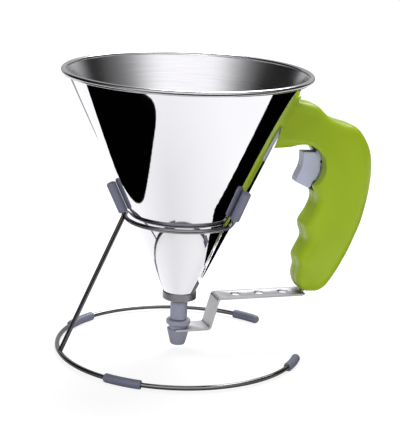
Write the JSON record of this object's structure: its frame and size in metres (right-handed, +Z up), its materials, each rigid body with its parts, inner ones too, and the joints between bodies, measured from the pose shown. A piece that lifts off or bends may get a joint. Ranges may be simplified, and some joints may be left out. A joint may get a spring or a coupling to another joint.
{
  "type": "batter dispenser funnel",
  "caption": "Open steel cone funnel with pistol grip and trigger that lowers a nozzle cap to let batter out, resting in a wire stand with a base hoop.",
  "frame": {"origin": "on the funnel's axis at table height, straight under the nozzle", "axes": "+Z up along the funnel's axis, +X from the funnel's axis towards the handle, the stand's leg at -X, +Y away from the shell that shows no screw heads"},
  "size_m": [0.2077, 0.1614, 0.1859],
  "materials": {
    "wire": "polished stainless wire",
    "cone_steel": "polished outside, satin inside",
    "steel": "satin stainless steel",
    "sleeve": "smooth soft plastic",
    "nozzle": "satin lilac-grey plastic",
    "handle": "satin lime green plastic",
    "drive": "plain moulded plastic",
    "seal": "soft rubber"
  },
  "bodies": {
    "stand": {"base_hoop": "wire", "leg_wire": "wire", "support_ring": "wire", "foot_sleeve_near": "sleeve", "foot_sleeve_far": "sleeve", "end_cap_near": "sleeve", "end_cap_far": "sleeve", "prong_sleeve_leg": "sleeve", "prong_sleeve_near": "sleeve", "prong_sleeve_far": "sleeve"},
    "funnel": {"funnel_cone": "cone_steel", "outlet_collar": "steel", "collar_gasket": "seal", "nozzle_tube": "nozzle", "valve_needle": "steel", "handle_bracket": "steel", "handle_shell_near": "handle", "handle_shell_far": "handle", "shell_screws": "steel", "guide_block": "drive", "guide_screw": "steel", "return_spring": "steel", "trigger_pin": "steel"},
    "trigger": {"trigger": "nozzle", "drive_pin": "steel"},
    "arm": {"closing_arm": "steel", "push_rod": "drive", "arm_rivets": "steel", "nozzle_cap": "nozzle", "cap_seal": "seal"}
  },
  "joints": [
    {"name": "funnel_lift", "type": "slide", "parent": "stand", "child": "funnel", "axis": [0, 0, 1], "range_m": [0, 0.12]},
    {"name": "trigger_hinge", "type": "hinge", "parent": "funnel", "child": "trigger", "pos_m": [0.0935, 0, 0.1329], "axis": [0, -1, 0], "range_deg": [0, 12]},
    {"name": "arm_slide", "type": "slide", "parent": "funnel", "child": "arm", "axis": [0, 0, -1], "range_m": [0, 0.003], "stiffness_N_per_m": 400, "springref_m": -0.01, "deforming": ["return_spring"]}
  ],
  "couplings": [
    {"joint": "trigger_hinge", "follows": "arm_slide", "rad_per_m": 69.8}
  ]
}
